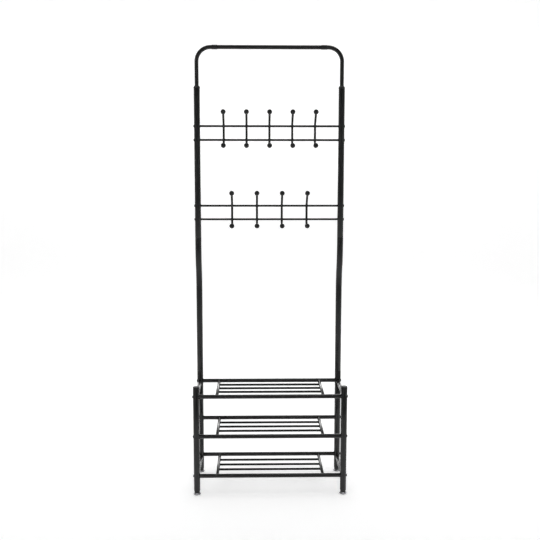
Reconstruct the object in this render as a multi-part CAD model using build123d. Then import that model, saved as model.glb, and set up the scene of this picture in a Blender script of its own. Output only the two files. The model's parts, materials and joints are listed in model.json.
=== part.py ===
"""Hall tree: a tubular steel coat rack over a three-shelf shoe rack.

Frame: origin on the floor under the middle of the footprint, +X to the user's right,
+Y to the back, +Z up. All lengths are in millimetres.
Each piece is written as its own STEP file in parts/.
"""

from build123d import *

import os
from math import atan2, hypot, sqrt, tan

# ---- overall layout -------------------------------------------------------------------
post_spacing = 570.0            # left post to right post, centre to centre
leg_spacing = 240.0             # front leg to rear leg, centre to centre
upright_step = 32.0             # how far the bend brings the uprights forward of the rear legs

# ---- heights --------------------------------------------------------------------------
foot_height = 17.5              # floor to the lower end of a leg tube, feet screwed home
bottom_shelf_z = 74.5
shelf_pitch = 158.25
leg_above_shelf = 40.0          # top shelf rail axis to the top of a leg
side_rail_drop = 6.0            # lower side rail axis below the bottom shelf rail axis
lower_upright_length = 557.0
upper_upright_length = 587.0
hanging_bar_rise = 158.0        # top of the post to the axis of the hanging bar
lower_hooks_above_joint = 73.5  # upright joint to the lowest hook rail
upper_hooks_below_top = 146.0   # top of the post down to the highest hook rail
hook_rail_gap = 54.0            # between the two rails of one hook row

# ---- tubes and rods -------------------------------------------------------------------
post_d = 25.0
post_wall = 1.0
rail_d = 16.0                   # shelf rails and side rails
rail_wall = 1.0
crossbar_d = 12.0
crossbar_wall = 1.0
shelf_rod_d = 9.0
shelf_rod_wall = 0.8
hook_rail_d = 8.5
hook_wire_d = 9.0
bar_d = 16.0                    # bent top tubes and the hanging bar
bar_wall = 1.0

# ---- clearances -----------------------------------------------------------------------
push_fit = 0.1                  # radial, plugs and spigots in tubes
hole_fit = 0.2                  # radial, rails in the holes of the posts
screw_fit = 0.05                # radial, threads and pins in their holes
turning_gap = 0.3               # axial, between a turning foot and the leg

# ---- shelves --------------------------------------------------------------------------
crossbar_x = 206.0              # crossbar axes, each side of the middle
shelf_rod_pitch = 53.0
shelf_rod_count = 3

# ---- bends ----------------------------------------------------------------------------
bend_start_above_leg = 387.0    # leg top to the first corner of the S-bend
bend_corner_rise = 94.0         # between the two corners of the S-bend
bend_middle_run = 6.6           # straight run between the two arcs of the S-bend
bar_corner_radius = 55.0
bell_run = 2.0                  # straight run between the corner and the widened socket
bell_transition = 4.0
bell_length = 21.0

# ---- hooks ----------------------------------------------------------------------------
upper_hook_pitch = 90.0
upper_hook_count = 5
lower_hook_pitch = 99.0
lower_hook_count = 4
ball_d = 20.0
ball_bore_depth = 9.0
upper_ball_forward = 52.0       # ball centre forward of the straight wire
upper_ball_rise = 51.5          # above the upper rail of the row
lower_ball_forward = 50.0
lower_ball_drop = 23.0          # below the lower rail of the row
hook_low_point = 28.5           # lowest point of the wire's axis below the lower rail
arm_bend_rise = 6.0             # corner between wire and arm, above the upper rail
arm_radius = 12.0
crook_radius = 20.0
crook_run = 3.0                 # level run at the bottom of the crook

# ---- joints, plugs and fasteners ------------------------------------------------------
spigot_length = 35.0
spigot_wall = 1.0
spigot_above_rail = 4.0         # gap from the spigot in a rear leg down to the top shelf rail
shoulder_wall = 1.5
cap_head_height = 3.0
cap_edge_radius = 1.8
cap_plug_length = 14.0
plug_wall = 1.6
bush_rim_over = 0.4             # radial, rim of the reducer bush beyond the post
bush_rim_height = 4.0
bush_taper_height = 5.0
bush_plug_length = 40.0
bar_leg_insertion = 60.0        # bent top tube into the post
insert_length = 18.0
shelf_screw_d = 6.0
hook_screw_d = 4.0
shelf_screw_length = 24.0
hook_screw_length = 20.0
hook_screw_spare = 1.5          # tapped hole beyond the end of the screw
screw_head_d = 11.0
screw_head_height = 2.5
screw_head_rim = 0.5            # straight edge of the head, below its dome
screw_head_bulge = 0.6          # dome beyond a straight cone
screw_socket_d = 3.0
screw_socket_depth = 1.3

# ---- levelling feet -------------------------------------------------------------------
stud_d = 8.0
stud_length = 37.0              # above the domed base
foot_insert_length = 28.0       # inside the leg
foot_insert_flange = 1.5
foot_boss_step = 1.75           # radial, boss inside the outside of the leg
foot_base_d = 30.0
foot_base_height = 6.4
foot_base_rim = 1.4
foot_base_bulge = 1.3           # dome beyond a straight cone
foot_sole_height = 2.2
foot_sole_d = 26.0
foot_sole_recess = 1.0          # how far the sole sits up inside the base
foot_pivot_d = 6.0
foot_pivot_height = 2.5

# ---- worked out from the above --------------------------------------------------------
post_r = post_d / 2
post_bore_r = post_r - post_wall
rail_r = rail_d / 2
post_x = post_spacing / 2
front_y = -leg_spacing / 2
rear_y = leg_spacing / 2
upright_y = rear_y - upright_step
wire_y = upright_y - (hook_rail_d + hook_wire_d) / 2

shelf_names = ("bottom", "middle", "top")
shelf_z = {name: bottom_shelf_z + i * shelf_pitch for i, name in enumerate(shelf_names)}
leg_top_z = shelf_z["top"] + leg_above_shelf
joint_z = leg_top_z + lower_upright_length
post_top_z = joint_z + upper_upright_length
bar_z = post_top_z + hanging_bar_rise
side_rail_z = {"top": shelf_z["top"], "bottom": bottom_shelf_z - side_rail_drop}
hook_rows = {
    "upper": post_top_z - upper_hooks_below_top,
    "lower": joint_z + lower_hooks_above_joint + hook_rail_gap,
}
hook_rail_z = {
    (row, level): z - drop
    for row, z in hook_rows.items()
    for level, drop in (("top", 0.0), ("bottom", hook_rail_gap))
}
leg_spigot_length = leg_above_shelf - rail_r - hole_fit - spigot_above_rail

sides = {"left": -1, "right": 1}
legs = {"front": front_y, "rear": rear_y}

bend_slope = atan2(upright_step, bend_corner_rise)
bend_arc_run = (hypot(upright_step, bend_corner_rise) - bend_middle_run) / 2
bend_radius = bend_arc_run / tan(bend_slope / 2)

neck_x = post_x - bar_corner_radius - bell_run
bell_start = neck_x - bell_transition
bell_end = bell_start - bell_length
foot_boss_r = post_r - foot_boss_step
foot_base_z = foot_sole_height - foot_sole_recess
foot_base_top_z = foot_base_z + foot_base_height

# A rail stops inside a post where its end meets the curve of the far wall.
rail_end_x = post_x + sqrt(post_bore_r**2 - rail_r**2) - screw_fit
hook_rail_end_x = post_x + sqrt(post_bore_r**2 - (hook_rail_d / 2) ** 2) - screw_fit


# ---- shape helpers --------------------------------------------------------------------
def rod(start, end, radius):
    """A solid cylinder from start to end."""
    direction = Vector(*end) - Vector(*start)
    plane = Plane(origin=start, z_dir=direction)
    return Solid.make_cylinder(radius, direction.length, plane)


def bore(start, end, radius, overrun=5.0):
    """A cutting cylinder that runs past both ends."""
    first, last = Vector(*start), Vector(*end)
    step = (last - first).normalized() * overrun
    return rod(first - step, last + step, radius)


def tube(start, end, diameter, wall):
    return rod(start, end, diameter / 2) - bore(start, end, diameter / 2 - wall)


def bent_rod(points, radii, radius):
    """A round bar along straight runs joined by tangent arcs."""
    path = FilletPolyline(*points, radius=radii)
    start = Plane(origin=path @ 0, z_dir=path % 0)
    return sweep(start * Circle(radius), path=path).solid()


def revolved(profile, centre):
    """Turns a closed outline of (radius, height) points about the vertical at centre."""
    outline = Polyline(*[(radius, 0, height) for radius, height in profile], close=True)
    return Pos(*centre) * revolve(make_face(outline), axis=Axis.Z).solid()


def domed(profile, bulge, centre):
    """The same, with the outline closed by an arc that stands out from the chord by bulge."""
    corners = [Vector(radius, 0, height) for radius, height in profile]
    chord = corners[-1] - corners[0]
    outward = Vector(-chord.Z, 0, chord.X).normalized()
    middle = (corners[0] + corners[-1]) * 0.5 + outward * bulge
    outline = [Polyline(*corners), ThreePointArc(corners[-1], middle, corners[0])]
    return Pos(*centre) * revolve(make_face(outline), axis=Axis.Z).solid()


def write(name, *solids):
    """One STEP file per node; several solids stay separate in it."""
    shape = solids[0] if len(solids) == 1 else Compound(children=list(solids))
    shape.label = name
    export_step(shape, f"parts/{name}.step")


# ---- posts ----------------------------------------------------------------------------
def drill(post, side, y, heights, rail_radius, screw_diameter):
    """Opens a post's inner wall for each rail, and its outer wall for each screw."""
    reach = post_d
    for z in heights:
        axis = (side * post_x, y, z)
        inner = (side * (post_x - reach), y, z)
        outer = (side * (post_x + reach), y, z)
        post = post - rod(inner, axis, rail_radius + hole_fit)
        post = post - rod(axis, outer, screw_diameter / 2 + hole_fit)
    return post


def make_leg(side, y, top_z):
    x = side * post_x
    leg = tube((x, y, foot_height), (x, y, top_z), post_d, post_wall)
    return drill(leg, side, y, shelf_z.values(), rail_r, shelf_screw_d)


def make_side_rail(side, z, near_shelf_z):
    """Runs from front leg to rear leg, coped to both and cut clear of the nearest shelf rails."""
    x = side * post_x
    inner_x = side * (post_x - post_d)
    rail = tube((x, front_y, z), (x, rear_y, z), rail_d, rail_wall)
    for y in legs.values():
        rail = rail - rod((x, y, z - rail_d), (x, y, z + rail_d), post_r)
        rail = rail - rod((inner_x, y, near_shelf_z), (x, y, near_shelf_z), rail_r + hole_fit)
    return rail


def make_lower_upright(side):
    """The S-bent tube, necked at both ends to push into its neighbours."""
    x = side * post_x
    low_corner = leg_top_z + bend_start_above_leg
    corners = (
        (x, rear_y, leg_top_z),
        (x, rear_y, low_corner),
        (x, upright_y, low_corner + bend_corner_rise),
        (x, upright_y, joint_z),
    )
    neck_r = post_bore_r - push_fit
    body = bent_rod(corners, bend_radius, post_r)
    body = body + rod((x, rear_y, leg_top_z - leg_spigot_length), corners[0], neck_r)
    body = body + rod(corners[-1], (x, upright_y, joint_z + spigot_length), neck_r)
    inside = (
        (x, rear_y, leg_top_z + shoulder_wall),
        corners[1],
        corners[2],
        (x, upright_y, joint_z - shoulder_wall),
    )
    neck_bore_r = neck_r - spigot_wall
    body = body - bent_rod(inside, bend_radius, post_bore_r)
    body = body - bore((x, rear_y, leg_top_z - leg_spigot_length), inside[0], neck_bore_r)
    body = body - bore(inside[-1], (x, upright_y, joint_z + spigot_length), neck_bore_r)
    return body


def make_upper_upright(side):
    x = side * post_x
    bottom, top = (x, upright_y, joint_z), (x, upright_y, post_top_z)
    post = tube(bottom, top, post_d, post_wall)
    return drill(post, side, upright_y, hook_rail_z.values(), hook_rail_d / 2, hook_screw_d)


def make_leg_cap(side):
    """A hollow plug with a low domed head that covers the open top of a front leg."""
    plug_r = post_bore_r - push_fit
    seat = leg_top_z - cap_head_height
    head = Pos(side * post_x, front_y, seat) * Cylinder(
        post_r, cap_head_height, align=(Align.CENTER, Align.CENTER, Align.MIN)
    )
    head = fillet(head.edges().group_by(Axis.Z)[-1], cap_edge_radius)
    base = (side * post_x, front_y, seat - cap_plug_length)
    plug = tube(base, (side * post_x, front_y, seat), 2 * plug_r, plug_wall)
    return (head + plug).solid()


# ---- top ------------------------------------------------------------------------------
def make_reducer_bush(side):
    """Fills the post's open top and centres the thinner bent tube in it."""
    x = side * post_x
    plug_r = post_bore_r - push_fit
    rim_r = post_r + bush_rim_over
    bore_r = bar_d / 2 + push_fit
    profile = (
        (bore_r, -bush_plug_length),
        (plug_r, -bush_plug_length),
        (plug_r, 0),
        (rim_r, 0),
        (rim_r, bush_rim_height),
        (bore_r + plug_wall, bush_rim_height + bush_taper_height),
        (bore_r, bush_rim_height + bush_taper_height),
    )
    return revolved(profile, (x, upright_y, post_top_z))


def make_top_corner(side):
    """Leg, bend and widened socket in one bent tube."""
    x = side * post_x
    foot = (x, upright_y, post_top_z - bar_leg_insertion)
    corner = (x, upright_y, bar_z)
    neck = (side * neck_x, upright_y, bar_z)
    bell = (side * bell_start, upright_y, bar_z)
    mouth = (side * bell_end, upright_y, bar_z)
    bell_bore_r = bar_d / 2 + push_fit
    bell_r = bell_bore_r + bar_wall
    inward = Plane(origin=neck, z_dir=(-side, 0, 0))
    flare = Solid.make_cone(bar_d / 2, bell_r, bell_transition, inward)
    body = bent_rod((foot, corner, neck), bar_corner_radius, bar_d / 2)
    body = body + flare + rod(bell, mouth, bell_r)
    below = (x, upright_y, foot[2] - bar_d)
    body = body - bent_rod((below, corner, bell), bar_corner_radius, bar_d / 2 - bar_wall)
    return body - rod(bell, (side * (bell_end - bar_d), upright_y, bar_z), bell_bore_r)


def make_hanging_bar():
    reach = bell_start - push_fit
    return tube((-reach, upright_y, bar_z), (reach, upright_y, bar_z), bar_d, bar_wall)


# ---- hook rows ------------------------------------------------------------------------
def make_hook_rail(z):
    """A round bar between the uprights, with a tapped hole in each end."""
    left, right = (-hook_rail_end_x, upright_y, z), (hook_rail_end_x, upright_y, z)
    rail = rod(left, right, hook_rail_d / 2)
    for side in sides.values():
        mouth = (side * hook_rail_end_x, upright_y, z)
        depth = side * (post_x + post_r - hook_screw_length - hook_screw_spare)
        rail = rail - rod((depth, upright_y, z), mouth, hook_screw_d / 2 + screw_fit)
    return rail


def row_positions(count, pitch):
    return [(i - (count - 1) / 2) * pitch for i in range(count)]


def hook_path(x, top_z):
    """Corners of a hook's axis, from its upper ball's centre to its lower ball's."""
    low_rail_z = top_z - hook_rail_gap
    low_z = low_rail_z - hook_low_point
    return [
        Vector(x, wire_y - upper_ball_forward, top_z + upper_ball_rise),
        Vector(x, wire_y, top_z + arm_bend_rise),
        Vector(x, wire_y, low_z),
        Vector(x, wire_y - crook_radius - crook_run, low_z),
        Vector(x, wire_y - lower_ball_forward, low_rail_z - lower_ball_drop),
    ]


def wire_end(centre, toward):
    """Where the wire bottoms in the ball around centre."""
    return centre + (toward - centre).normalized() * (ball_d / 2 - ball_bore_depth)


def make_hook_wire(x, top_z):
    """A double hook: a sloping arm above the rails and a short crook below them."""
    path = hook_path(x, top_z)
    start, finish = wire_end(path[0], path[1]), wire_end(path[-1], path[-2])
    radii = [arm_radius, crook_radius, crook_radius]
    return bent_rod([start, *path[1:-1], finish], radii, hook_wire_d / 2)


def make_ball(centre, toward):
    """A moulded ball, bored for the end of the wire that comes from toward."""
    mouth = centre + (toward - centre).normalized() * ball_d
    socket = rod(wire_end(centre, toward), mouth, hook_wire_d / 2 + screw_fit)
    return Pos(*centre) * Sphere(ball_d / 2) - socket


def make_row_balls(positions, top_z):
    balls = []
    for x in positions:
        path = hook_path(x, top_z)
        balls.append(make_ball(path[0], path[1]))
        balls.append(make_ball(path[-1], path[-2]))
    return balls


# ---- shelves --------------------------------------------------------------------------
def make_shelf_rail(y, z):
    return tube((-rail_end_x, y, z), (rail_end_x, y, z), rail_d, rail_wall)


def make_crossbar(x, z):
    """Joins the front and rear rails of a shelf, coped to both."""
    bar = tube((x, front_y, z), (x, rear_y, z), crossbar_d, crossbar_wall)
    for y in legs.values():
        bar = bar - rod((x - rail_d, y, z), (x + rail_d, y, z), rail_r)
    return bar


def make_shelf_rod(y, z):
    """A slat of the shelf, coped to the two crossbars."""
    slat = tube((-crossbar_x, y, z), (crossbar_x, y, z), shelf_rod_d, shelf_rod_wall)
    for side in sides.values():
        x = side * crossbar_x
        slat = slat - rod((x, y - crossbar_d, z), (x, y + crossbar_d, z), crossbar_d / 2)
    return slat


def make_rail_insert(side, y, z):
    """A tapped plug in the end of a shelf rail."""
    end = side * rail_end_x
    start = side * (rail_end_x - insert_length)
    plug = rod((start, y, z), (end, y, z), rail_r - rail_wall - push_fit)
    return plug - bore((start, y, z), (end, y, z), shelf_screw_d / 2 + screw_fit)


# ---- fasteners ------------------------------------------------------------------------
def make_screw(side, y, z, diameter, length):
    """A low domed head against the outside of a post, with its shank pointing inward."""
    head_r = screw_head_d / 2
    socket_r = screw_socket_d / 2
    socket_floor = screw_head_height - screw_socket_depth
    profile = (
        (socket_r, screw_head_height),
        (socket_r, socket_floor),
        (0, socket_floor),
        (0, -length),
        (diameter / 2, -length),
        (diameter / 2, 0),
        (head_r, 0),
        (head_r, screw_head_rim),
    )
    outward = Pos(side * (post_x + post_r), y, z) * Rot(0, side * 90, 0)
    return outward * domed(profile, screw_head_bulge, (0, 0, 0))


# ---- levelling feet -------------------------------------------------------------------
def make_foot_insert(x, y):
    """A flanged plug in the lower end of a leg, threaded for the stud."""
    bore_r = stud_d / 2 + screw_fit
    plug_r = post_bore_r - push_fit
    boss_low = foot_base_top_z + turning_gap
    flange_low = foot_height - foot_insert_flange
    profile = (
        (bore_r, boss_low),
        (foot_boss_r, boss_low),
        (foot_boss_r, flange_low),
        (post_r, flange_low),
        (post_r, foot_height),
        (plug_r, foot_height),
        (plug_r, foot_height + foot_insert_length),
        (bore_r, foot_height + foot_insert_length),
    )
    return revolved(profile, (x, y, 0))


def make_foot(x, y):
    """Stud and domed base in one turning piece, recessed below for its sole."""
    base_r = foot_base_d / 2
    stud_r = stud_d / 2
    stud_top = foot_base_top_z + stud_length
    recess_r = foot_sole_d / 2 + turning_gap
    pivot_r = foot_pivot_d / 2 + screw_fit
    pivot_z = foot_sole_height + foot_pivot_height + turning_gap
    profile = (
        (foot_boss_r, foot_base_top_z),
        (stud_r, foot_base_top_z),
        (stud_r, stud_top),
        (0, stud_top),
        (0, pivot_z),
        (pivot_r, pivot_z),
        (pivot_r, foot_sole_height),
        (recess_r, foot_sole_height),
        (recess_r, foot_base_z),
        (base_r, foot_base_z),
        (base_r, foot_base_z + foot_base_rim),
    )
    return domed(profile, foot_base_bulge, (x, y, 0))


def make_foot_sole(x, y):
    """A pad that stays still on the floor while the foot turns on its pivot."""
    pad = rod((x, y, 0), (x, y, foot_sole_height), foot_sole_d / 2)
    top = foot_sole_height + foot_pivot_height
    return pad + rod((x, y, foot_sole_height), (x, y, top), foot_pivot_d / 2)


# ---- the whole object -----------------------------------------------------------------
os.makedirs("parts", exist_ok=True)

for side_name, side in sides.items():
    write(f"front_leg_{side_name}", make_leg(side, front_y, leg_top_z - cap_head_height))
    write(f"rear_leg_{side_name}", make_leg(side, rear_y, leg_top_z))
    write(f"leg_cap_{side_name}", make_leg_cap(side))
    write(f"lower_upright_{side_name}", make_lower_upright(side))
    write(f"upper_upright_{side_name}", make_upper_upright(side))
    write(f"reducer_bush_{side_name}", make_reducer_bush(side))
    write(f"top_corner_{side_name}", make_top_corner(side))
    for level, z in side_rail_z.items():
        write(f"side_rail_{level}_{side_name}", make_side_rail(side, z, shelf_z[level]))
    for leg_name, y in legs.items():
        foot_name = f"{leg_name}_{side_name}"
        write(f"foot_{foot_name}", make_foot(side * post_x, y))
        write(f"foot_sole_{foot_name}", make_foot_sole(side * post_x, y))

write("hanging_bar", make_hanging_bar())

hook_positions = {
    "upper": row_positions(upper_hook_count, upper_hook_pitch),
    "lower": row_positions(lower_hook_count, lower_hook_pitch),
}
for row, positions in hook_positions.items():
    for level in ("top", "bottom"):
        write(f"{row}_hook_rail_{level}", make_hook_rail(hook_rail_z[row, level]))
    for number, x in enumerate(positions, start=1):
        write(f"{row}_hook_{number}", make_hook_wire(x, hook_rows[row]))
    write(f"{row}_hook_balls", *make_row_balls(positions, hook_rows[row]))

rod_lines = row_positions(shelf_rod_count, shelf_rod_pitch)
for name, z in shelf_z.items():
    for leg_name, y in legs.items():
        write(f"{name}_shelf_{leg_name}_rail", make_shelf_rail(y, z))
    bars = [make_crossbar(side * crossbar_x, z) for side in sides.values()]
    write(f"{name}_shelf_crossbars", *bars)
    write(f"{name}_shelf_rods", *[make_shelf_rod(y, z) for y in rod_lines])

shelf_joints = [(s, y, z) for s in sides.values() for y in legs.values() for z in shelf_z.values()]
hook_joints = [(s, upright_y, z) for s in sides.values() for z in hook_rail_z.values()]
write("shelf_rail_inserts", *[make_rail_insert(*joint) for joint in shelf_joints])
write(
    "shelf_screws",
    *[make_screw(*joint, shelf_screw_d, shelf_screw_length) for joint in shelf_joints],
)
write(
    "hook_rail_screws",
    *[make_screw(*joint, hook_screw_d, hook_screw_length) for joint in hook_joints],
)
write(
    "foot_inserts",
    *[make_foot_insert(s * post_x, y) for s in sides.values() for y in legs.values()],
)
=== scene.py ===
"""Looks for the tubular steel hall tree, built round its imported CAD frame.

Everything is in metres in the frame's own axes: +X right, +Y back, +Z up, floor at 0.
"""

import json
import math

import bmesh
import bpy
from mathutils import Matrix, Vector

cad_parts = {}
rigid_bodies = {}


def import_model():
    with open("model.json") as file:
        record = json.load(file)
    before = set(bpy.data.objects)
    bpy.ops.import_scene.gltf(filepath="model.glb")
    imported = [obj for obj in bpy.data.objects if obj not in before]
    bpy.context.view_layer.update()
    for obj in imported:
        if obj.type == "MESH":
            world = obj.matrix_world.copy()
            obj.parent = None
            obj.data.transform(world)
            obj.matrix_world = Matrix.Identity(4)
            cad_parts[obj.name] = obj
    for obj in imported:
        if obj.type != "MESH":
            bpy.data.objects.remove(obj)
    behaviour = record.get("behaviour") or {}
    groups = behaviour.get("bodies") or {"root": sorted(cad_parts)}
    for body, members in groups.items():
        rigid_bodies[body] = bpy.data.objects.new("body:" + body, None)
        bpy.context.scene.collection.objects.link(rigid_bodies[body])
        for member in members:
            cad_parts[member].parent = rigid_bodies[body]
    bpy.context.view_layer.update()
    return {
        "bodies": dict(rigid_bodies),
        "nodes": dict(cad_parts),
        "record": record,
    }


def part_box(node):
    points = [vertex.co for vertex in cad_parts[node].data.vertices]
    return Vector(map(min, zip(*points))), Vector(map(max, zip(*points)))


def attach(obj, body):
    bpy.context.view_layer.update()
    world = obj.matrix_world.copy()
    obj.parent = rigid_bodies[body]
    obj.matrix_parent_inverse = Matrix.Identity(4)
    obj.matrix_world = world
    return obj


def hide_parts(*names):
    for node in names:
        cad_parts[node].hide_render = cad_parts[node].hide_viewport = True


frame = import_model()
nodes = frame["nodes"]

MM = 0.001
SAME_POINT = 0.002 * MM                  # vertices closer than this are one

# ---- camera and lights ------------------------------------------------------------------
CAMERA_PLACE = (-0.0576, -3.1183, 1.2550)
CAMERA_DOWN = math.radians(7.085)
CAMERA_YAW = math.radians(1.08)          # towards +X
CAMERA_ROLL = math.radians(0.029)
LENS = 53.33
SENSOR = 36.0


def make_camera():
    data = bpy.data.cameras.new("camera")
    data.lens = LENS
    data.sensor_width = SENSOR
    data.clip_end = 60.0
    camera = bpy.data.objects.new("camera", data)
    camera.location = CAMERA_PLACE
    turn = Matrix.Rotation(-CAMERA_YAW, 4, "Z")
    turn = turn @ Matrix.Rotation(math.pi / 2 - CAMERA_DOWN, 4, "X")
    turn = turn @ Matrix.Rotation(CAMERA_ROLL, 4, "Z")
    camera.rotation_euler = turn.to_euler()
    bpy.context.scene.collection.objects.link(camera)
    bpy.context.scene.camera = camera


def area_light(name, place, target, size, power, spread=180.0):
    """A soft box of (width, height) facing its target, its beam kept within a spread in degrees."""
    data = bpy.data.lights.new(name, "AREA")
    data.shape = "RECTANGLE"
    data.size, data.size_y = size
    data.energy = power
    data.spread = math.radians(spread)
    light = bpy.data.objects.new(name, data)
    light.location = place
    light.rotation_euler = (Vector(target) - Vector(place)).to_track_quat("-Z", "Y").to_euler()
    bpy.context.scene.collection.objects.link(light)


def make_world(strength):
    """A faint even white from everywhere."""
    world = bpy.data.worlds.new("studio")
    world.use_nodes = True
    background = world.node_tree.nodes["Background"]
    background.inputs["Color"].default_value = (1.0, 1.0, 1.0, 1.0)
    background.inputs["Strength"].default_value = strength
    bpy.context.scene.world = world


def make_lights():
    """One overhead, two on the wall behind, a panel that the crossbars reflect, two strips in front."""
    body = (0.0, 0.0, 0.9)
    wall = (0.0, 6.0, 1.6)
    area_light("overhead", (0.0, -0.4, 4.8), (0.0, -0.4, 0.0), size=(6.0, 6.0), power=59.0, spread=90.0)
    for side, sign in (("left", -1), ("right", 1)):
        area_light(f"wall_{side}", (sign * 3.2, 1.2, 3.6), wall, size=(2.0, 2.0), power=22.0, spread=120.0)
    area_light("back_panel", (0.0, 4.5, 1.75), body, size=(3.0, 1.6), power=10.0, spread=100.0)
    for side, sign in (("left", -1), ("right", 1)):
        area_light(f"strip_{side}", (sign * 2.3, -2.6, 1.4), body, size=(0.14, 2.2), power=3.0)


# ---- materials --------------------------------------------------------------------------
SPECULAR_LEVEL = 0.42                    # of paint, plastic and rubber


def new_material(name):
    """An empty Principled material: (material, node tree, shader)."""
    material = bpy.data.materials.new(name)
    material.use_nodes = True
    tree = material.node_tree
    return material, tree, tree.nodes["Principled BSDF"]


def add(tree, kind, **inputs):
    node = tree.nodes.new(kind)
    for name, value in inputs.items():
        node.inputs[name.replace("_", " ")].default_value = value
    return node


def object_point(tree):
    return tree.nodes.new("ShaderNodeTexCoord").outputs["Object"]


def axis_of(tree, vector, axis):
    """One of X, Y and Z of a vector output."""
    split = tree.nodes.new("ShaderNodeSeparateXYZ")
    tree.links.new(vector, split.inputs[0])
    return split.outputs[axis]


def noise(tree, point, scale, detail=2.0, roughness=0.5):
    node = add(tree, "ShaderNodeTexNoise", Scale=scale, Detail=detail, Roughness=roughness)
    tree.links.new(point, node.inputs["Vector"])
    return node.outputs["Fac"]


def ramp(tree, value, low, high, to_low=0.0, to_high=1.0):
    """value from low..high mapped to to_low..to_high, clamped."""
    node = add(tree, "ShaderNodeMapRange", From_Min=low, From_Max=high, To_Min=to_low, To_Max=to_high)
    tree.links.new(value, node.inputs["Value"])
    return node.outputs["Result"]


def combine(tree, operation, first, second):
    """A math node; second may be a number or an output."""
    node = tree.nodes.new("ShaderNodeMath")
    node.operation = operation
    tree.links.new(first, node.inputs[0])
    if isinstance(second, (int, float)):
        node.inputs[1].default_value = second
    else:
        tree.links.new(second, node.inputs[1])
    return node.outputs[0]


def blend_colours(tree, share, first, second):
    """The first colour where share is 0, the second where it is 1."""
    node = tree.nodes.new("ShaderNodeMix")
    node.data_type = "RGBA"
    tree.links.new(share, node.inputs["Factor"])
    node.inputs[6].default_value = (*first, 1.0)
    node.inputs[7].default_value = (*second, 1.0)
    return node.outputs[2]


def bump(tree, height, distance, under=None):
    node = add(tree, "ShaderNodeBump", Strength=1.0, Distance=distance)
    tree.links.new(height, node.inputs["Height"])
    if under is not None:
        tree.links.new(under, node.inputs["Normal"])
    return node.outputs["Normal"]


def upward(tree, low, high):
    """1 on surfaces that face up, 0 on the rest."""
    normal = tree.nodes.new("ShaderNodeNewGeometry").outputs["Normal"]
    return ramp(tree, axis_of(tree, normal, "Z"), low, high)


def powder_coat_material(name, black, grey):
    """Gloss black powder coat: orange peel, a few nibs, faint haze and settled dust."""
    material, tree, shader = new_material(name)
    point = object_point(tree)
    haze = noise(tree, point, scale=9.0, detail=4.0, roughness=0.6)
    fine = noise(tree, point, scale=160.0, detail=3.0)
    dust = combine(tree, "MULTIPLY", upward(tree, 0.45, 1.0), ramp(tree, fine, 0.35, 0.75))
    hazed = ramp(tree, haze, 0.35, 0.7, to_high=0.35)
    share = combine(tree, "ADD", hazed, combine(tree, "MULTIPLY", dust, 0.5))
    tree.links.new(blend_colours(tree, share, black, grey), shader.inputs["Base Color"])
    clean = ramp(tree, haze, 0.3, 0.7, 0.10, 0.18)
    dusty = combine(tree, "ADD", clean, combine(tree, "MULTIPLY", dust, 0.12))
    tree.links.new(dusty, shader.inputs["Roughness"])
    orange_peel = bump(tree, noise(tree, point, scale=620.0), 0.03 * MM)
    specks = add(tree, "ShaderNodeTexVoronoi", Scale=34.0)
    tree.links.new(point, specks.inputs["Vector"])
    nib = ramp(tree, specks.outputs["Distance"], 0.0, 0.035, to_low=1.0, to_high=0.0)
    tree.links.new(bump(tree, nib, 0.12 * MM, under=orange_peel), shader.inputs["Normal"])
    shader.inputs["Specular IOR Level"].default_value = SPECULAR_LEVEL
    return material


def plastic_material(name, dark, light, rough, grain_scale, grain_depth):
    """Moulded plastic or rubber: flow marks and a fine grain."""
    material, tree, shader = new_material(name)
    point = object_point(tree)
    flow = noise(tree, point, scale=45.0, detail=3.0, roughness=0.55)
    tree.links.new(blend_colours(tree, flow, dark, light), shader.inputs["Base Color"])
    tree.links.new(ramp(tree, flow, 0.3, 0.7, *rough), shader.inputs["Roughness"])
    grain = noise(tree, point, scale=grain_scale)
    tree.links.new(bump(tree, grain, grain_depth), shader.inputs["Normal"])
    shader.inputs["Specular IOR Level"].default_value = SPECULAR_LEVEL
    return material


def metal_material(name, dark, light, rough):
    """Plated or blackened steel with rolled marks and slight tarnish."""
    material, tree, shader = new_material(name)
    point = object_point(tree)
    tarnish = noise(tree, point, scale=90.0, detail=4.0, roughness=0.6)
    tree.links.new(blend_colours(tree, tarnish, dark, light), shader.inputs["Base Color"])
    tree.links.new(ramp(tree, tarnish, 0.3, 0.7, *rough), shader.inputs["Roughness"])
    marks = noise(tree, point, scale=1400.0, detail=3.0)
    tree.links.new(bump(tree, marks, 0.01 * MM), shader.inputs["Normal"])
    shader.inputs["Metallic"].default_value = 1.0
    return material


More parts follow.
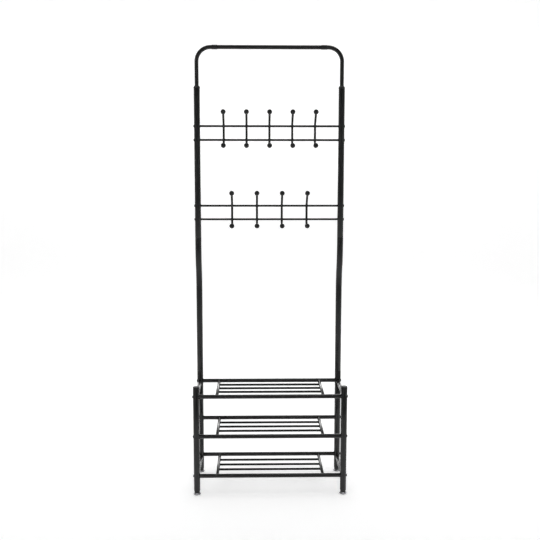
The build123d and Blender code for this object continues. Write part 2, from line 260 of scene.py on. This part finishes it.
def make_materials():
    """One finished material for each slot in the record."""
    return {
        "powder_coat": powder_coat_material(
            "powder_coat", (0.0026, 0.0026, 0.0028), (0.0085, 0.0085, 0.0082)
        ),
        "coated_wire": powder_coat_material(
            "coated_wire", (0.0024, 0.0024, 0.0026), (0.0080, 0.0080, 0.0078)
        ),
        "hook_ball_plastic": plastic_material(
            "hook_ball_plastic", (0.0024, 0.0024, 0.0025), (0.0050, 0.0050, 0.0050),
            rough=(0.12, 0.20), grain_scale=500.0, grain_depth=0.01 * MM,
        ),
        "black_plastic": plastic_material(
            "black_plastic", (0.0045, 0.0045, 0.0045), (0.0090, 0.0090, 0.0090),
            rough=(0.38, 0.52), grain_scale=1800.0, grain_depth=0.03 * MM,
        ),
        "insert_plastic": plastic_material(
            "insert_plastic", (0.10, 0.10, 0.10), (0.15, 0.15, 0.15),
            rough=(0.45, 0.6), grain_scale=1800.0, grain_depth=0.03 * MM,
        ),
        "black_screws": metal_material(
            "black_screws", (0.025, 0.025, 0.027), (0.06, 0.06, 0.065), rough=(0.28, 0.42)
        ),
        "foot_plating": metal_material(
            "foot_plating", (0.34, 0.34, 0.35), (0.50, 0.50, 0.52), rough=(0.12, 0.26)
        ),
        "foot_rubber": plastic_material(
            "foot_rubber", (0.018, 0.018, 0.018), (0.035, 0.035, 0.034),
            rough=(0.75, 0.9), grain_scale=900.0, grain_depth=0.08 * MM,
        ),
    }


# ---- floor ------------------------------------------------------------------------------
FLOOR_RADIUS = 5.0
FLOOR_RINGS = 24
FLOOR_SIDES = 96
FLOOR_BEND = 1.6                         # radius of the curve from floor to wall
FLOOR_BEND_STEPS = 12
WALL_TOP = 6.0


def floor_material():
    """Matt white sheet that glows softly behind the object; the glow fades out in front of it."""
    material, tree, shader = new_material("studio_floor")
    point = object_point(tree)
    shade = noise(tree, point, scale=1.3, detail=3.0)
    colour = blend_colours(tree, shade, (0.88, 0.88, 0.88), (0.92, 0.92, 0.92))
    tree.links.new(colour, shader.inputs["Base Color"])
    shader.inputs["Roughness"].default_value = 0.85
    shader.inputs["Specular IOR Level"].default_value = 0.1
    glow = ramp(tree, axis_of(tree, point, "Y"), -2.2, 0.0, to_high=0.40)
    tree.links.new(glow, shader.inputs["Emission Strength"])
    shader.inputs["Emission Color"].default_value = (1.0, 1.0, 1.0, 1.0)
    return material


def floor_profile():
    """(distance, height) points from the top of the floor's wall to its middle."""
    profile = [(FLOOR_RADIUS * i / FLOOR_RINGS, 0.0) for i in range(FLOOR_RINGS + 1)]
    for i in range(1, FLOOR_BEND_STEPS + 1):
        turn = math.pi / 2 * i / FLOOR_BEND_STEPS
        distance = FLOOR_RADIUS + FLOOR_BEND * math.sin(turn)
        profile.append((distance, FLOOR_BEND * (1 - math.cos(turn))))
    profile.append((FLOOR_RADIUS + FLOOR_BEND, WALL_TOP))
    return profile[::-1]


def make_floor():
    """A round floor that curves up into a wall all round, and stays under the lowest sole."""
    mesh = bmesh.new()
    lathe(mesh, floor_profile(), Matrix(), sides=FLOOR_SIDES)
    for face in mesh.faces:
        face.smooth = True
    data = bpy.data.meshes.new("studio_floor")
    mesh.to_mesh(data)
    mesh.free()
    data.materials.append(floor_material())
    floor = bpy.data.objects.new("studio_floor", data)
    bpy.context.scene.collection.objects.link(floor)
    for body, empty in frame["bodies"].items():
        if body.startswith("sole_"):
            hold = floor.constraints.new("FLOOR")
            hold.target = empty
            hold.floor_location = "FLOOR_NEGATIVE_Z"


# ---- mesh helpers -----------------------------------------------------------------------
def round_corners(corners, steps=4):
    """(radius, height, rounding) corners as plain (radius, height) points, with each rounding an arc."""
    points = []
    for i, (x, y, rounding) in enumerate(corners):
        here = Vector((x, y))
        if rounding == 0:
            points.append(here)
            continue
        back = (Vector(corners[i - 1][:2]) - here).normalized()
        ahead = (Vector(corners[i + 1][:2]) - here).normalized()
        half = back.angle(ahead) / 2
        centre = here + (back + ahead).normalized() * (rounding / math.sin(half))
        first = here + back * (rounding / math.tan(half)) - centre
        last = here + ahead * (rounding / math.tan(half)) - centre
        turn = first.angle_signed(last)
        for k in range(steps + 1):
            points.append(centre + Matrix.Rotation(-turn * k / steps, 2) @ first)
    return [tuple(point) for point in points]


def join_rings(mesh, first, second):
    """Faces between two rings of vertices, either of which may be a single point."""
    count = max(len(first), len(second))
    for k in range(count):
        n = (k + 1) % count
        ends = ((first, k), (first, n), (second, n), (second, k))
        corners = [ring[i % len(ring)] for ring, i in ends]
        corners = [vert for i, vert in enumerate(corners) if vert is not corners[i - 1]]
        mesh.faces.new(corners)


def lathe(mesh, profile, place, sides=48, closed=False):
    """Turns (radius, height) points about place's Z axis. A radius may be a function of the angle."""
    rings = []
    for radius, height in profile:
        if radius == 0:
            rings.append([mesh.verts.new(place @ Vector((0, 0, height)))])
            continue
        ring = []
        for k in range(sides):
            angle = 2 * math.pi * k / sides
            reach = radius(angle) if callable(radius) else radius
            point = Vector((reach * math.cos(angle), reach * math.sin(angle), height))
            ring.append(mesh.verts.new(place @ point))
        rings.append(ring)
    for lower, upper in zip(rings, rings[1:]):
        join_rings(mesh, lower, upper)
    if closed:
        join_rings(mesh, rings[-1], rings[0])


def finish_piece(name, mesh, slot, body, replaced=(), sharp=35.0):
    """Turns a bmesh into a smooth-shaded piece that rides on a CAD body."""
    bmesh.ops.recalc_face_normals(mesh, faces=mesh.faces)
    for face in mesh.faces:
        face.smooth = True
    data = bpy.data.meshes.new(name)
    mesh.to_mesh(data)
    mesh.free()
    data.materials.append(materials[slot])
    data.set_sharp_from_angle(angle=math.radians(sharp))
    piece = bpy.data.objects.new(name, data)
    bpy.context.scene.collection.objects.link(piece)
    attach(piece, body)
    if replaced:
        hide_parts(*replaced)


def solids_of(node):
    """The (lowest, highest) corners of each separate solid in a CAD node."""
    mesh = bmesh.new()
    mesh.from_mesh(nodes[node].data)
    bmesh.ops.remove_doubles(mesh, verts=mesh.verts, dist=SAME_POINT)
    seen = set()
    boxes = []
    for start in mesh.verts:
        if start in seen:
            continue
        seen.add(start)
        island = [start]
        for vert in island:
            for edge in vert.link_edges:
                other = edge.other_vert(vert)
                if other not in seen:
                    seen.add(other)
                    island.append(other)
        low = Vector([min(v.co[axis] for v in island) for axis in range(3)])
        high = Vector([max(v.co[axis] for v in island) for axis in range(3)])
        boxes.append((low, high))
    mesh.free()
    return sorted(boxes, key=lambda box: tuple(round(value, 4) for value in box[0]))


def middle(box):
    return (box[0] + box[1]) / 2


def round_node(node):
    """A turned CAD node with an upright axis: (placement on its axis, radius, lowest, highest)."""
    low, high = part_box(node)
    centre = middle((low, high))
    return Matrix.Translation((centre.x, centre.y, 0)), (high.x - low.x) / 2, low.z, high.z


def facing(place, direction):
    """A placement at place with its Z axis along direction."""
    return Matrix.Translation(place) @ Vector(direction).to_track_quat("Z", "Y").to_matrix().to_4x4()


# ---- threads and screws -----------------------------------------------------------------
THREAD_DEPTH = 0.6                       # of the pitch
SCREW_TIP = 0.4 * MM                     # plain end of the shank before its thread
SCREW_NECK = 3.0 * MM                    # from the seat to the end of the thread
SCREW_HEAD_RADIUS = 5.5 * MM
HEX_SOCKET_FLATS = 3.0 * MM
HEX_SOCKET_DEPTH = 1.3 * MM


def thread_rings(start, end, major, pitch, steps=8):
    """Profile rings of a helical thread that fades in and out over its first and last turn."""
    depth = THREAD_DEPTH * pitch
    count = round((end - start) / pitch * steps)
    rings = []
    for k in range(count + 1):
        height = start + (end - start) * k / count
        fade = min(1.0, (height - start) / pitch, (end - height) / pitch)

        def radius(angle, height=height, fade=fade):
            phase = (height / pitch - angle / (2 * math.pi)) % 1.0
            return major - depth * (1.0 - fade * (1.0 - abs(2.0 * phase - 1.0)))

        rings.append((radius, height))
    return rings


def hex_radius(flats):
    return lambda angle: flats / 2 / math.cos(angle % (math.pi / 3) - math.pi / 6)


def add_screw(mesh, place, length, shank_radius, pitch, head_height):
    """A domed socket screw with its seat at place and its head along place's Z."""
    socket_floor = head_height - HEX_SOCKET_DEPTH
    shank = [
        (0, -length),
        (shank_radius - THREAD_DEPTH * pitch, -length),
        *thread_rings(-length + SCREW_TIP, -SCREW_NECK, shank_radius, pitch),
        (shank_radius, -SCREW_NECK + 1.0 * MM),
        (shank_radius, 0.0),
    ]
    head = round_corners([
        (SCREW_HEAD_RADIUS - 0.2 * MM, 0.0, 0),
        (SCREW_HEAD_RADIUS, 0.1 * MM, 0),
        (SCREW_HEAD_RADIUS, 0.6 * MM, 0.3 * MM),
        (SCREW_HEAD_RADIUS * 0.80, head_height * 0.68, 1.6 * MM),
        (SCREW_HEAD_RADIUS * 0.48, head_height, 1.2 * MM),
        (HEX_SOCKET_FLATS * 0.66, head_height, 0),
    ])
    recess = [
        (hex_radius(HEX_SOCKET_FLATS * 1.04), head_height - 0.15 * MM),
        (hex_radius(HEX_SOCKET_FLATS), head_height - 0.35 * MM),
        (hex_radius(HEX_SOCKET_FLATS), socket_floor),
        (0, socket_floor - 0.3 * MM),
    ]
    lathe(mesh, [*shank, *head, *recess], place, sides=36)


def make_screws(node, name, length, shank_radius, pitch):
    """One screw for each solid of a CAD screw node, its head outward from the posts."""
    seat = max(abs(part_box("front_leg_left")[0].x), abs(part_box("front_leg_right")[1].x))
    mesh = bmesh.new()
    for box in solids_of(node):
        centre = middle(box)
        side = math.copysign(1.0, centre.x)
        head_height = max(abs(box[0].x), abs(box[1].x)) - seat
        place = facing((side * seat, centre.y, centre.z), (side, 0, 0))
        add_screw(mesh, place, length, shank_radius, pitch, head_height)
    finish_piece(name, mesh, "black_screws", "frame", [node])


# ---- levelling feet ---------------------------------------------------------------------
STUD_RADIUS = 4.0 * MM
STUD_PITCH = 1.25 * MM
FOOT_CROWN = 7.6 * MM                    # flat top of the dome, from which the stud rises
FOOT_HOLLOW = 2.2 * MM                   # roof of the dome's hollow, which rests on the sole
PIVOT_RADIUS = 3.0 * MM
PIVOT_GAP = 0.05 * MM
PIVOT_HOLE_TOP = 5.0 * MM
SOLE_GROOVE = 0.35 * MM
SOLE_RINGS = (2.0 * MM, 5.0 * MM, 8.0 * MM)


def make_foot(corner):
    """Plated dome with a rolled rim, on a threaded stud."""
    node = f"foot_{corner}"
    place, base_radius, bottom, top = round_node(node)
    stud_end = top - 0.3 * MM
    stud_foot = FOOT_CROWN + 0.8 * MM
    stud_root = STUD_RADIUS - THREAD_DEPTH * STUD_PITCH
    hole_radius = PIVOT_RADIUS + PIVOT_GAP
    profile = [
        (0, top),
        (stud_root, top),
        *reversed(thread_rings(stud_foot, stud_end, STUD_RADIUS, STUD_PITCH)),
        (stud_root, FOOT_CROWN + 0.3 * MM),
        (STUD_RADIUS - 0.4 * STUD_PITCH, FOOT_CROWN),
    ]
    profile += round_corners([
        (10.0 * MM, FOOT_CROWN, 0),
        (10.7 * MM, FOOT_CROWN - 0.05 * MM, 0.4 * MM),
        (13.4 * MM, 5.6 * MM, 4.0 * MM),
        (base_radius, 2.9 * MM, 1.0 * MM),
        (base_radius, 1.7 * MM, 0.4 * MM),
        (base_radius - 0.9 * MM, bottom, 0.4 * MM),
        (13.5 * MM, bottom, 0.15 * MM),
        (13.3 * MM, FOOT_HOLLOW, 0.2 * MM),
        (hole_radius + 0.25 * MM, FOOT_HOLLOW, 0),
        (hole_radius, FOOT_HOLLOW + 0.2 * MM, 0),
        (hole_radius, PIVOT_HOLE_TOP, 0),
        (0, PIVOT_HOLE_TOP, 0),
    ])
    mesh = bmesh.new()
    lathe(mesh, profile, place, sides=64)
    finish_piece(f"levelling_foot_{corner}", mesh, "foot_plating", node, [node])


def make_sole(corner):
    """Rubber pad with ringed grip below and its pivot above."""
    node = f"foot_sole_{corner}"
    place, radius, _, top = round_node(node)
    profile = [(0, SOLE_GROOVE)]
    for inner in SOLE_RINGS:
        profile += [
            (inner + 0.6 * MM, SOLE_GROOVE),
            (inner + 0.9 * MM, 0.0),
            (inner + 2.4 * MM, 0.0),
            (inner + 2.7 * MM, SOLE_GROOVE),
        ]
    profile += round_corners([
        (radius - 1.3 * MM, SOLE_GROOVE, 0),
        (radius - 1.0 * MM, 0.0, 0),
        (radius, 0.0, 0.35 * MM),
        (radius, FOOT_HOLLOW, 0.3 * MM),
        (PIVOT_RADIUS + 0.4 * MM, FOOT_HOLLOW, 0),
        (PIVOT_RADIUS, FOOT_HOLLOW + 0.2 * MM, 0),
        (PIVOT_RADIUS, top, 0.4 * MM),
        (0, top, 0),
    ])
    mesh = bmesh.new()
    lathe(mesh, profile, place, sides=64)
    finish_piece(f"rubber_sole_{corner}", mesh, "foot_rubber", f"sole_{corner}", [node])


# ---- hook balls -------------------------------------------------------------------------
UPPER_ARM = Vector((0, 52.0, -45.5)).normalized()    # from an upper ball along its wire
LOWER_CROOK = Vector((0, 27.0, -5.5)).normalized()   # from a lower ball along its wire
WIRE_HOLE = 4.55 * MM
WIRE_HOLE_FLOOR = 1.0 * MM               # past the ball's middle, towards the wire
BALL_SWEEP = math.radians(150.5)         # from the ball's far end to the mouth of the hole
BALL_STEPS = 40


def add_ball(mesh, centre, direction, radius):
    """A moulded ball with a parting line and a dimple, bored for its wire."""
    profile = [(0, -radius + 0.15 * MM), (0.5 * MM, -radius + 0.12 * MM)]
    for k in range(1, BALL_STEPS + 1):
        angle = -math.pi / 2 + BALL_SWEEP * k / BALL_STEPS
        reach = radius + 0.07 * MM * math.exp(-((angle / 0.03) ** 2))
        profile.append((reach * math.cos(angle), reach * math.sin(angle)))
    mouth = profile[-1][1]
    profile += [
        (WIRE_HOLE + 0.12 * MM, mouth + 0.02 * MM),
        (WIRE_HOLE, mouth - 0.25 * MM),
        (WIRE_HOLE, WIRE_HOLE_FLOOR),
        (0, WIRE_HOLE_FLOOR),
    ]
    lathe(mesh, profile, facing(centre, direction), sides=56)


def make_balls(row):
    """All the ball ends of one row of hooks."""
    node = f"{row}_hook_balls"
    mesh = bmesh.new()
    boxes = solids_of(node)
    split = sum(middle(box).z for box in boxes) / len(boxes)
    for box in boxes:
        centre = middle(box)
        direction = UPPER_ARM if centre.z > split else LOWER_CROOK
        add_ball(mesh, centre, direction, (box[1].x - box[0].x) / 2)
    finish_piece(f"{row}_ball_ends", mesh, "hook_ball_plastic", "frame", [node])


# ---- caps and bushes --------------------------------------------------------------------
CAP_HEAD = 3.0 * MM                      # height of the cap above the leg's end
CAP_WALL = 1.6 * MM                      # of its hollow plug
BUSH_HEAD = 9.0 * MM                     # height of the bush above the post's end
BUSH_RIM = 4.0 * MM                      # of that height, what is straight below the taper
BUSH_BORE = 8.1 * MM


def make_leg_cap(side):
    """Low domed head with a gate mark, over a hollow plug."""
    node = f"leg_cap_{side}"
    place, radius, bottom, top = round_node(node)
    seat = top - CAP_HEAD
    plug = radius - 1.1 * MM
    gate_mark = [
        (0, top - 0.25 * MM),
        (0.8 * MM, top - 0.22 * MM),
        (1.1 * MM, top),
        (4.0 * MM, top - 0.01 * MM),
    ]
    cap = round_corners([
        (radius - 2.6 * MM, top - 0.12 * MM, 0),
        (radius, top - 0.45 * MM, 1.3 * MM),
        (radius, seat, 0.2 * MM),
        (plug, seat, 0),
        (plug, bottom, 0.5 * MM),
        (plug - CAP_WALL, bottom, 0.3 * MM),
        (plug - CAP_WALL, seat, 0),
        (0, seat, 0),
    ])
    mesh = bmesh.new()
    lathe(mesh, gate_mark + cap, place, sides=56)
    finish_piece(f"leg_end_cap_{side}", mesh, "black_plastic", "frame", [node])


def make_bush(side):
    """Rim and taper above the post, and a plug inside it."""
    node = f"reducer_bush_{side}"
    place, rim, bottom, top = round_node(node)
    plug = rim - 1.5 * MM
    seat = top - BUSH_HEAD
    profile = round_corners([
        (BUSH_BORE, bottom, 0.2 * MM),
        (plug, bottom, 0.6 * MM),
        (plug, seat, 0),
        (rim, seat, 0.25 * MM),
        (rim, seat + BUSH_RIM, 0.6 * MM),
        (BUSH_BORE + 1.7 * MM, top, 0.5 * MM),
        (BUSH_BORE, top, 0),
    ])
    profile.insert(0, (BUSH_BORE, bottom + 1.0 * MM))
    mesh = bmesh.new()
    lathe(mesh, profile, place, sides=56, closed=True)
    finish_piece(f"post_top_bush_{side}", mesh, "black_plastic", "frame", [node])


# ---- welds ------------------------------------------------------------------------------
ALONG_X = Vector((1, 0, 0))
ALONG_Y = Vector((0, 1, 0))
ALONG_Z = Vector((0, 0, 1))
SHELF_RAIL_RADIUS = 8.0 * MM
CROSSBAR_BEAD = 1.35 * MM
ROD_BEAD = 1.15 * MM
SIDE_RAIL_BEAD = 1.6 * MM
HOOK_NUGGET = (5.4 * MM, 2.4 * MM, 4.1 * MM)
BEAD_STATIONS = 72
BEAD_SIDES = 10
BEAD_RIPPLES = 18


def lumpy(angle, seed):
    """A slow, repeatable unevenness between about -1 and 1."""
    broad = 0.5 * math.sin(3 * angle + 1.7 * seed)
    finer = 0.3 * math.sin(5 * angle + 2.9 * seed)
    return broad + finer + 0.2 * math.sin(11 * angle + 0.7 * seed)


def add_saddle_bead(mesh, centre, along_run, along_branch, run_radius, branch_radius, bead, seed):
    """A rippled bead round a branch tube where it meets the side of a run tube."""
    across = along_run.cross(along_branch)
    path = []
    for k in range(BEAD_STATIONS):
        angle = 2 * math.pi * k / BEAD_STATIONS
        radial = along_run * math.cos(angle) + across * math.sin(angle)
        depth = math.sqrt(run_radius**2 - (branch_radius * math.sin(angle)) ** 2)
        path.append((centre + radial * branch_radius + along_branch * depth, radial, angle))
    rings = []
    for k, (point, radial, angle) in enumerate(path):
        tangent = (path[(k + 1) % BEAD_STATIONS][0] - path[k - 1][0]).normalized()
        outward = (radial + along_branch * 0.6).normalized()
        side = tangent.cross(outward).normalized()
        outward = side.cross(tangent)
        size = bead * (1 + 0.16 * lumpy(angle, seed) + 0.10 * math.sin(BEAD_RIPPLES * angle + seed))
        ring = []
        for j in range(BEAD_SIDES):
            turn = 2 * math.pi * j / BEAD_SIDES
            reach = outward * math.cos(turn) + side * 1.25 * math.sin(turn)
            ring.append(mesh.verts.new(point + reach * size))
        rings.append(ring)
    for k in range(BEAD_STATIONS):
        join_rings(mesh, rings[k - 1], rings[k])


def make_shelf_welds(shelf):
    """Beads at both ends of a shelf's crossbars and rods."""
    mesh = bmesh.new()
    bars = solids_of(f"{shelf}_shelf_crossbars")
    bar_radius = (bars[0][1].x - bars[0][0].x) / 2
    seed = 1
    for bar in bars:
        for row, toward in (("front", ALONG_Y), ("rear", -ALONG_Y)):
            rail = middle(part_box(f"{shelf}_shelf_{row}_rail"))
            joint = Vector((middle(bar).x, rail.y, rail.z))
            add_saddle_bead(mesh, joint, ALONG_X, toward, SHELF_RAIL_RADIUS, bar_radius, CROSSBAR_BEAD, seed)
            seed += 1
    for slat in solids_of(f"{shelf}_shelf_rods"):
        centre = middle(slat)
        rod_radius = (slat[1].y - slat[0].y) / 2
        for bar, toward in ((bars[0], ALONG_X), (bars[1], -ALONG_X)):
            joint = Vector((middle(bar).x, centre.y, centre.z))
            add_saddle_bead(mesh, joint, ALONG_Y, toward, bar_radius, rod_radius, ROD_BEAD, seed)
            seed += 1
    finish_piece(f"{shelf}_shelf_welds", mesh, "powder_coat", "frame", sharp=60)


def make_side_welds(side):
    """Beads where the two side rails meet the legs."""
    mesh = bmesh.new()
    seed = 3
    for level in ("top", "bottom"):
        low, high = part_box(f"side_rail_{level}_{side}")
        rail_radius = (high.z - low.z) / 2
        for row, toward in (("front", ALONG_Y), ("rear", -ALONG_Y)):
            leg_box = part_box(f"{row}_leg_{side}")
            leg_radius = (leg_box[1].y - leg_box[0].y) / 2
            leg = middle(leg_box)
            joint = Vector((leg.x, leg.y, (low.z + high.z) / 2))
            add_saddle_bead(mesh, joint, ALONG_Z, toward, leg_radius, rail_radius, SIDE_RAIL_BEAD, seed)
            seed += 1
    finish_piece(f"side_rail_welds_{side}", mesh, "powder_coat", "frame", sharp=60)


def add_nugget(mesh, centre, reach, seed):
    """Metal squeezed out where a wire is welded across a rail."""
    made = bmesh.ops.create_icosphere(mesh, subdivisions=3, radius=1.0)
    for vert in made["verts"]:
        turn = math.atan2(vert.co.z, vert.co.x)
        swell = 1 + 0.08 * lumpy(turn, seed) + 0.04 * math.sin(9 * vert.co.x + 7 * vert.co.z + seed)
        vert.co = centre + Vector([vert.co[axis] * reach[axis] * swell for axis in range(3)])


def make_hook_welds(row, count):
    """Nuggets where each hook of a row crosses its two rails."""
    mesh = bmesh.new()
    for number in range(1, count + 1):
        wire = middle(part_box(f"{row}_hook_{number}"))
        for level, offset in (("top", 0.5), ("bottom", 0.0)):
            rail_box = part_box(f"{row}_hook_rail_{level}")
            contact = Vector((wire.x, rail_box[0].y, middle(rail_box).z))
            add_nugget(mesh, contact, HOOK_NUGGET, number + offset)
    finish_piece(f"{row}_hook_welds", mesh, "coated_wire", "frame", sharp=60)


# ---- the CAD nodes keep their shapes and take finished materials ------------------------
EDGE_SOFTENING = 0.3 * MM
EDGE_ANGLE = math.radians(40)


def dress_nodes():
    """Finished material, joined faces and softened edges for every CAD node that stays."""
    for part in frame["record"]["subparts"]:
        node = nodes[part["node"]]
        if node.hide_render:
            continue
        node.data.materials.clear()
        node.data.materials.append(materials[part["material_slot"]])
        weld = node.modifiers.new("weld", "WELD")
        weld.merge_threshold = SAME_POINT
        edge = node.modifiers.new("edge", "BEVEL")
        edge.width = EDGE_SOFTENING
        edge.segments = 2
        edge.limit_method = "ANGLE"
        edge.angle_limit = EDGE_ANGLE
        edge.harden_normals = True


# ---- the scene --------------------------------------------------------------------------
make_camera()
make_floor()
make_world(0.02)
make_lights()
bpy.context.scene.view_settings.view_transform = "Standard"

materials = make_materials()

make_screws("shelf_screws", "shelf_socket_screws", length=24.0 * MM, shank_radius=3.0 * MM, pitch=1.0 * MM)
make_screws(
    "hook_rail_screws", "hook_rail_socket_screws", length=20.0 * MM, shank_radius=2.0 * MM, pitch=0.7 * MM
)
for corner in ("front_left", "front_right", "rear_left", "rear_right"):
    make_foot(corner)
    make_sole(corner)
for side in ("left", "right"):
    make_leg_cap(side)
    make_bush(side)
    make_side_welds(side)
for shelf in ("bottom", "middle", "top"):
    make_shelf_welds(shelf)
for row, count in (("upper", 5), ("lower", 4)):
    make_balls(row)
    make_hook_welds(row, count)
dress_nodes()
